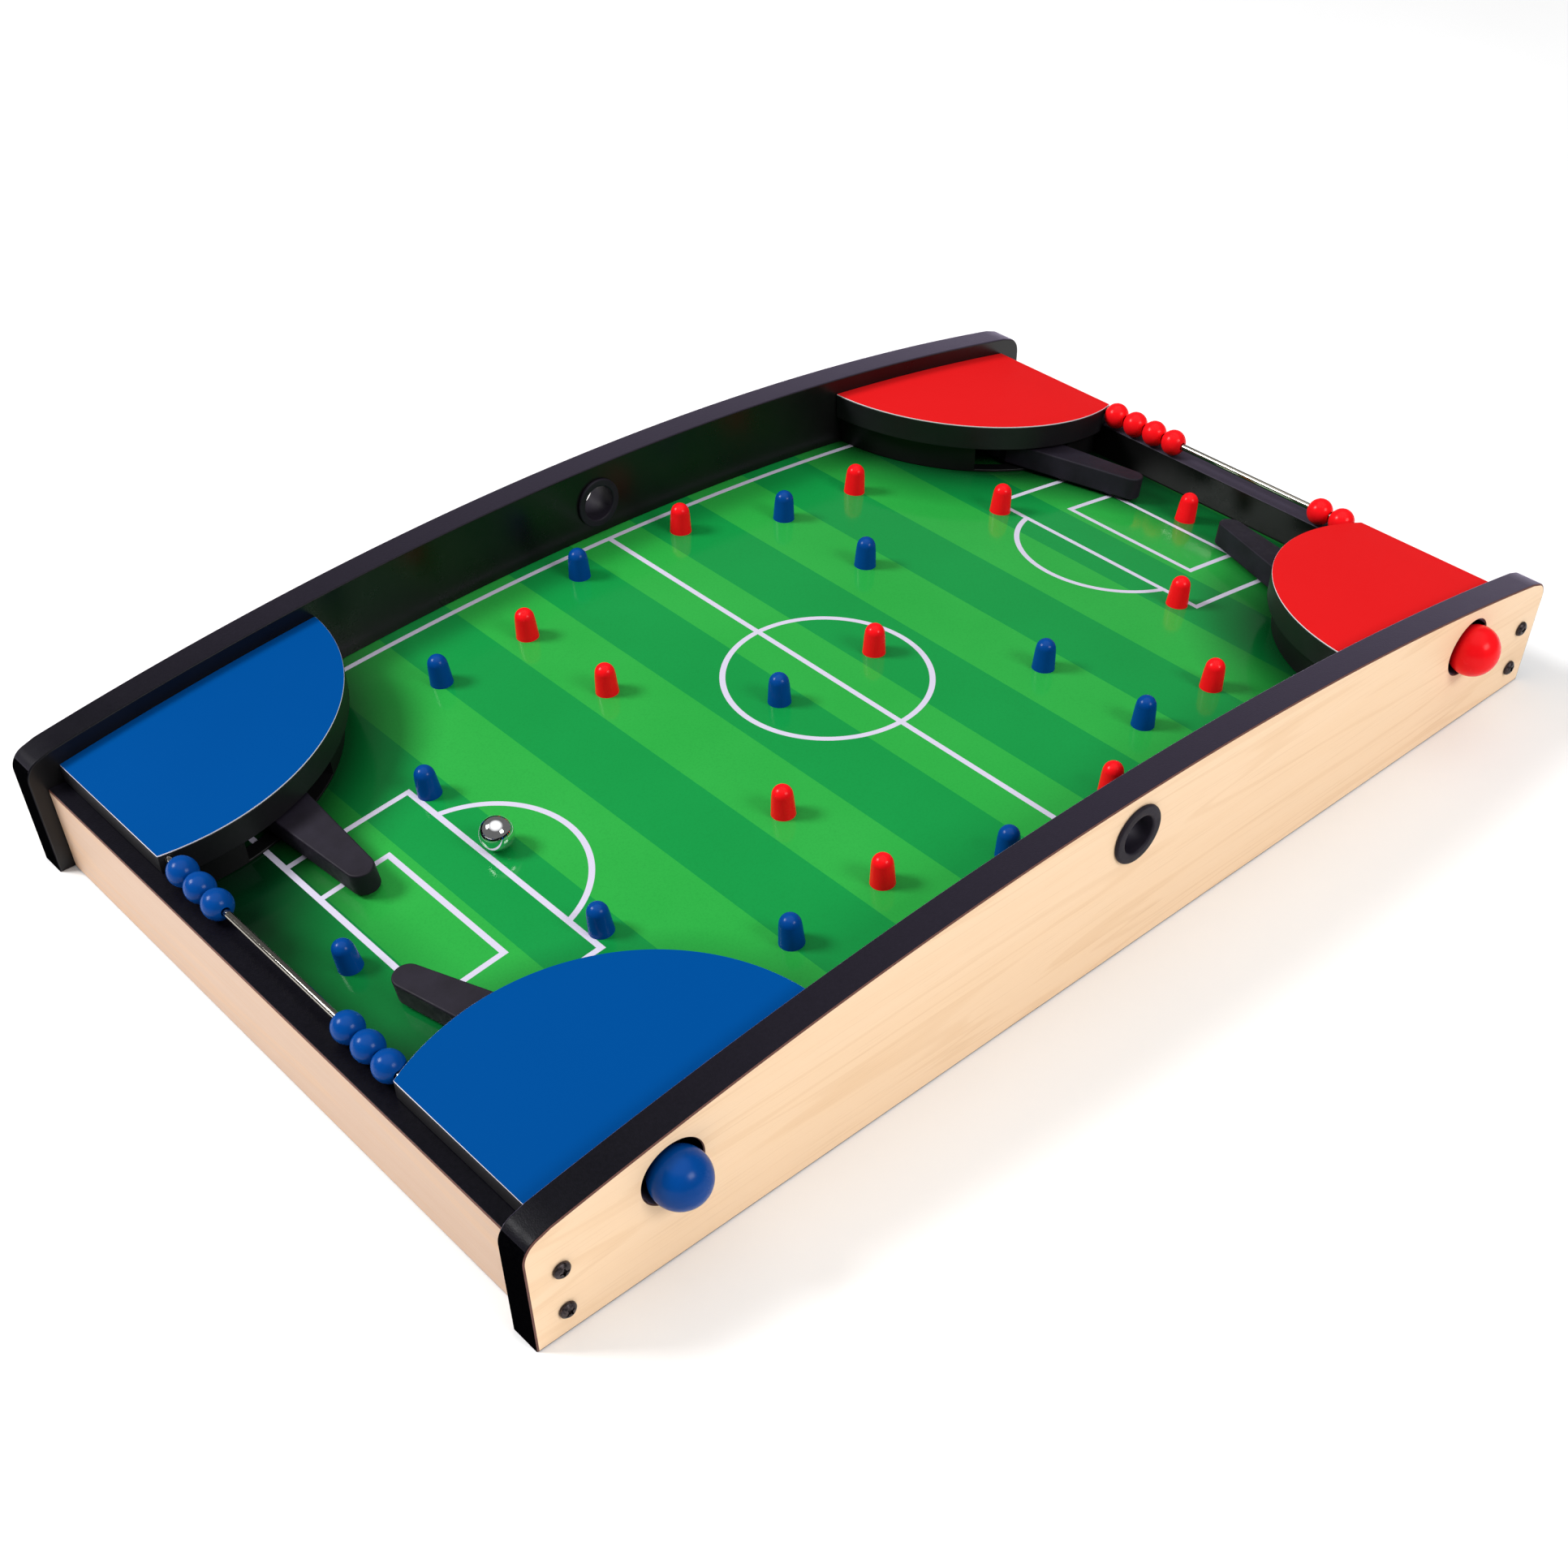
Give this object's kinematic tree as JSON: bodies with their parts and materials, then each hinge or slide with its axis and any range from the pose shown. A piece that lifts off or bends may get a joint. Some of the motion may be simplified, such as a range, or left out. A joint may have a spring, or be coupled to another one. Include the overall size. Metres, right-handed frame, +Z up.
{
  "type": "tabletop foosball",
  "caption": "Tabletop football game: domed green pitch with pegs, push-knob flippers under corner covers, score beads on end rods and a steel ball",
  "frame": {"origin": "middle of the footprint, on the surface that the game stands on", "axes": "+X runs along the table from the blue end to the red end, +Y across it from the near long side to the far one, +Z up"},
  "size_m": [0.672, 0.4346, 0.093],
  "materials": {
    "maple": "maple print on board, satin, with black edge banding",
    "pitch": "printed thin board, semi-gloss, with gloss painted wooden pegs",
    "black_plastic": "moulded black plastic, satin",
    "cover_blue": "board with dark edges and a blue printed sheet",
    "cover_red": "board with dark edges and a red printed sheet",
    "steel": "bright drawn steel",
    "chrome": "polished",
    "black_metal": "black oxide",
    "knob_blue": "painted wooden ball, gloss",
    "knob_red": "painted wooden ball, gloss",
    "bead_blue": "painted wooden bead, gloss",
    "bead_red": "painted wooden bead, gloss"
  },
  "bodies": {
    "table": {"side_panel_near": "maple", "side_panel_far": "maple", "end_panel_blue": "maple", "end_panel_red": "maple", "pitch_with_pegs": "pitch", "corner_housing_blue_near": "black_plastic", "corner_housing_blue_far": "black_plastic", "corner_housing_red_near": "black_plastic", "corner_housing_red_far": "black_plastic", "corner_cover_blue_near": "cover_blue", "corner_cover_blue_far": "cover_blue", "corner_cover_red_near": "cover_red", "corner_cover_red_far": "cover_red", "pivot_pin_blue_near": "steel", "pivot_pin_blue_far": "steel", "pivot_pin_red_near": "steel", "pivot_pin_red_far": "steel", "return_spring_blue_near": "steel", "return_spring_blue_far": "steel", "return_spring_red_near": "steel", "return_spring_red_far": "steel", "feed_grommet_near": "black_plastic", "feed_grommet_far": "black_plastic", "score_rod_blue": "chrome", "score_rod_red": "chrome", "screw_blue_near_1": "black_metal", "screw_blue_near_2": "black_metal", "screw_blue_far_1": "black_metal", "screw_blue_far_2": "black_metal", "screw_red_near_1": "black_metal", "screw_red_near_2": "black_metal", "screw_red_far_1": "black_metal", "screw_red_far_2": "black_metal"},
    "plunger_blue_near": {"knob_blue_near": "knob_blue", "plunger_blue_near": "steel"},
    "plunger_blue_far": {"knob_blue_far": "knob_blue", "plunger_blue_far": "steel"},
    "plunger_red_near": {"knob_red_near": "knob_red", "plunger_red_near": "steel"},
    "plunger_red_far": {"knob_red_far": "knob_red", "plunger_red_far": "steel"},
    "flipper_blue_near": {"flipper_blue_near": "black_plastic"},
    "flipper_blue_far": {"flipper_blue_far": "black_plastic"},
    "flipper_red_near": {"flipper_red_near": "black_plastic"},
    "flipper_red_far": {"flipper_red_far": "black_plastic"},
    "bead_blue_1": {"bead_blue_1": "bead_blue"},
    "bead_blue_2": {"bead_blue_2": "bead_blue"},
    "bead_blue_3": {"bead_blue_3": "bead_blue"},
    "bead_blue_4": {"bead_blue_4": "bead_blue"},
    "bead_blue_5": {"bead_blue_5": "bead_blue"},
    "bead_blue_6": {"bead_blue_6": "bead_blue"},
    "bead_red_1": {"bead_red_1": "bead_red"},
    "bead_red_2": {"bead_red_2": "bead_red"},
    "bead_red_3": {"bead_red_3": "bead_red"},
    "bead_red_4": {"bead_red_4": "bead_red"},
    "bead_red_5": {"bead_red_5": "bead_red"},
    "bead_red_6": {"bead_red_6": "bead_red"},
    "ball": {"ball": "chrome"}
  },
  "joints": [
    {"name": "plunger_slide_blue_near", "type": "slide", "parent": "table", "child": "plunger_blue_near", "axis": [0, 1, 0], "range_m": [0, 0.00787], "stiffness_N_per_m": 120, "springref_m": -0.006},
    {"name": "plunger_slide_blue_far", "type": "slide", "parent": "table", "child": "plunger_blue_far", "axis": [0, -1, 0], "range_m": [-0.00315, 0.00472], "stiffness_N_per_m": 120, "springref_m": -0.00915},
    {"name": "plunger_slide_red_near", "type": "slide", "parent": "table", "child": "plunger_red_near", "axis": [0, 1, 0], "range_m": [0, 0.00787], "stiffness_N_per_m": 120, "springref_m": -0.006},
    {"name": "plunger_slide_red_far", "type": "slide", "parent": "table", "child": "plunger_red_far", "axis": [0, -1, 0], "range_m": [0, 0.00787], "stiffness_N_per_m": 120, "springref_m": -0.006},
    {"name": "flipper_swing_blue_near", "type": "hinge", "parent": "table", "child": "flipper_blue_near", "pos_m": [-0.25307, -0.118, 0.04471], "axis": [-0.1326, 0, 0.9912], "range_deg": [-40.3, 0.3], "deforming": ["return_spring_blue_near"]},
    {"name": "flipper_swing_blue_far", "type": "hinge", "parent": "table", "child": "flipper_blue_far", "pos_m": [-0.25307, 0.118, 0.04471], "axis": [-0.1326, 0, 0.9912], "range_deg": [-16.3, 24.3], "deforming": ["return_spring_blue_far"]},
    {"name": "flipper_swing_red_near", "type": "hinge", "parent": "table", "child": "flipper_red_near", "pos_m": [0.25307, -0.118, 0.04471], "axis": [0.1326, 0, 0.9912], "range_deg": [-0.3, 40.3], "deforming": ["return_spring_red_near"]},
    {"name": "flipper_swing_red_far", "type": "hinge", "parent": "table", "child": "flipper_red_far", "pos_m": [0.25307, 0.118, 0.04471], "axis": [0.1326, 0, 0.9912], "range_deg": [-40.3, 0.3], "deforming": ["return_spring_red_far"]},
    {"name": "bead_slide_blue_1", "type": "slide", "parent": "table", "child": "bead_blue_1", "axis": [0, -1, 0], "range_m": [-0.0043, 0.0144]},
    {"name": "bead_slide_blue_2", "type": "slide", "parent": "bead_blue_1", "child": "bead_blue_2", "axis": [0, -1, 0], "range_m": [0, 0.0144]},
    {"name": "bead_slide_blue_3", "type": "slide", "parent": "bead_blue_2", "child": "bead_blue_3", "axis": [0, -1, 0], "range_m": [0, 0.0144]},
    {"name": "bead_slide_blue_6", "type": "slide", "parent": "table", "child": "bead_blue_6", "axis": [0, 1, 0], "range_m": [0, 0.0144]},
    {"name": "bead_slide_blue_5", "type": "slide", "parent": "bead_blue_6", "child": "bead_blue_5", "axis": [0, 1, 0], "range_m": [0, 0.0144]},
    {"name": "bead_slide_blue_4", "type": "slide", "parent": "bead_blue_5", "child": "bead_blue_4", "axis": [0, 1, 0], "range_m": [0, 0.0144]},
    {"name": "bead_slide_red_1", "type": "slide", "parent": "table", "child": "bead_red_1", "axis": [0, -1, 0], "range_m": [0, 0.0114]},
    {"name": "bead_slide_red_2", "type": "slide", "parent": "bead_red_1", "child": "bead_red_2", "axis": [0, -1, 0], "range_m": [0, 0.0114]},
    {"name": "bead_slide_red_3", "type": "slide", "parent": "bead_red_2", "child": "bead_red_3", "axis": [0, -1, 0], "range_m": [0, 0.0114]},
    {"name": "bead_slide_red_4", "type": "slide", "parent": "bead_red_3", "child": "bead_red_4", "axis": [0, -1, 0], "range_m": [0, 0.0114]},
    {"name": "bead_slide_red_6", "type": "slide", "parent": "table", "child": "bead_red_6", "axis": [0, 1, 0], "range_m": [0, 0.0228]},
    {"name": "bead_slide_red_5", "type": "slide", "parent": "bead_red_6", "child": "bead_red_5", "axis": [0, 1, 0], "range_m": [0, 0.0228]},
    {"name": "ball_roll", "type": "hinge", "parent": "table", "child": "ball", "pos_m": [0, 0.0105, -1.8465], "axis": [0, 1, 0], "range_deg": [-2.2, 4.2]}
  ],
  "couplings": [
    {"joint": "flipper_swing_blue_near", "follows": "plunger_slide_blue_near", "rad_per_m": -88.75},
    {"joint": "flipper_swing_blue_far", "follows": "plunger_slide_blue_far", "rad_per_m": 88.75},
    {"joint": "flipper_swing_red_near", "follows": "plunger_slide_red_near", "rad_per_m": 88.75},
    {"joint": "flipper_swing_red_far", "follows": "plunger_slide_red_far", "rad_per_m": -88.75}
  ]
}
